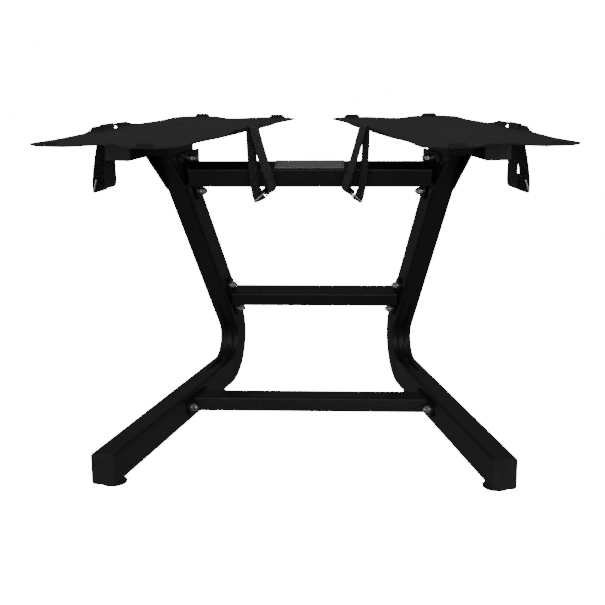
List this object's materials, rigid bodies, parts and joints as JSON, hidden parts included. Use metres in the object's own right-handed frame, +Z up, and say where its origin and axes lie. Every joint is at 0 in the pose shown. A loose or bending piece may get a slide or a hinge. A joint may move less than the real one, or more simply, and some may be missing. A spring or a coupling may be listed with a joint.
{
  "type": "adjustable dumbbell stand",
  "caption": "Floor stand with bent, splayed side frames, crossbars and flat trays with cinch straps that hold a pair of adjustable dumbbells.",
  "frame": {"origin": "on the floor below the middle of the stand, at the centre of its overall footprint", "axes": "+X to the viewer's right, +Y away from the user, +Z up"},
  "size_m": [0.916, 0.7206, 0.6052],
  "materials": {
    "black_coat": "satin black powder coat with a fine texture",
    "cap_plastic": "satin black moulded plastic",
    "foot_rubber": "matte black rubber",
    "zinc": "bright zinc plate",
    "plate_steel": "steel brushed along its length",
    "ring_steel": "bright drawn wire",
    "webbing": "woven black polyester webbing"
  },
  "bodies": {
    "stand": {"left_side_tube": "black_coat", "right_side_tube": "black_coat", "left_gusset": "black_coat", "right_gusset": "black_coat", "left_saddle": "black_coat", "right_saddle": "black_coat", "left_carrier": "black_coat", "right_carrier": "black_coat", "left_carrier_caps": "cap_plastic", "right_carrier_caps": "cap_plastic", "left_leg_cap": "cap_plastic", "right_leg_cap": "cap_plastic", "left_front_foot": "foot_rubber", "right_front_foot": "foot_rubber", "left_rear_foot": "foot_rubber", "right_rear_foot": "foot_rubber", "foot_screws": "zinc", "lower_bar": "black_coat", "middle_bar": "black_coat", "top_bar": "black_coat", "left_lower_plate": "black_coat", "right_lower_plate": "black_coat", "left_middle_plate": "black_coat", "right_middle_plate": "black_coat", "left_top_plate": "black_coat", "right_top_plate": "black_coat", "left_bolts": "zinc", "right_bolts": "zinc", "left_washers": "zinc", "right_washers": "zinc", "left_nuts": "zinc", "right_nuts": "zinc", "left_tray": "black_coat", "right_tray": "black_coat", "name_plate": "plate_steel", "name_rivets": "plate_steel"},
    "left_outer_strap": {"left_outer_strap": "webbing"},
    "left_outer_ring": {"left_outer_ring": "ring_steel"},
    "left_inner_strap": {"left_inner_strap": "webbing"},
    "left_inner_ring": {"left_inner_ring": "ring_steel"},
    "right_outer_strap": {"right_outer_strap": "webbing"},
    "right_outer_ring": {"right_outer_ring": "ring_steel"},
    "right_inner_strap": {"right_inner_strap": "webbing"},
    "right_inner_ring": {"right_inner_ring": "ring_steel"}
  },
  "joints": [
    {"name": "left_outer_strap_swing", "type": "hinge", "parent": "stand", "child": "left_outer_strap", "pos_m": [-0.39134, 0.01592, 0.60055], "axis": [0.2504, 0.9681, 0.0105], "range_deg": [0, 35]},
    {"name": "left_outer_ring_swing", "type": "hinge", "parent": "left_outer_strap", "child": "left_outer_ring", "pos_m": [-0.41223, 0.02268, 0.47539], "axis": [-0.2504, -0.9681, -0.0105], "range_deg": [0, 9]},
    {"name": "left_inner_strap_swing", "type": "hinge", "parent": "stand", "child": "left_inner_strap", "pos_m": [-0.10544, -0.0322, 0.60082], "axis": [-0.2504, -0.9681, -0.0105], "range_deg": [0, 35]},
    {"name": "left_inner_ring_swing", "type": "hinge", "parent": "left_inner_strap", "child": "left_inner_ring", "pos_m": [-0.09278, -0.03399, 0.46434], "axis": [-0.2504, -0.9681, -0.0105], "range_deg": [0, 9]},
    {"name": "right_outer_strap_swing", "type": "hinge", "parent": "stand", "child": "right_outer_strap", "pos_m": [0.39134, 0.01592, 0.60055], "axis": [0.2504, -0.9681, -0.0105], "range_deg": [0, 35]},
    {"name": "right_outer_ring_swing", "type": "hinge", "parent": "right_outer_strap", "child": "right_outer_ring", "pos_m": [0.41223, 0.02268, 0.47539], "axis": [-0.2504, 0.9681, 0.0105], "range_deg": [0, 9]},
    {"name": "right_inner_strap_swing", "type": "hinge", "parent": "stand", "child": "right_inner_strap", "pos_m": [0.10544, -0.0322, 0.60082], "axis": [-0.2504, 0.9681, 0.0105], "range_deg": [0, 35]},
    {"name": "right_inner_ring_swing", "type": "hinge", "parent": "right_inner_strap", "child": "right_inner_ring", "pos_m": [0.09278, -0.03399, 0.46434], "axis": [-0.2504, 0.9681, 0.0105], "range_deg": [0, 9]}
  ]
}
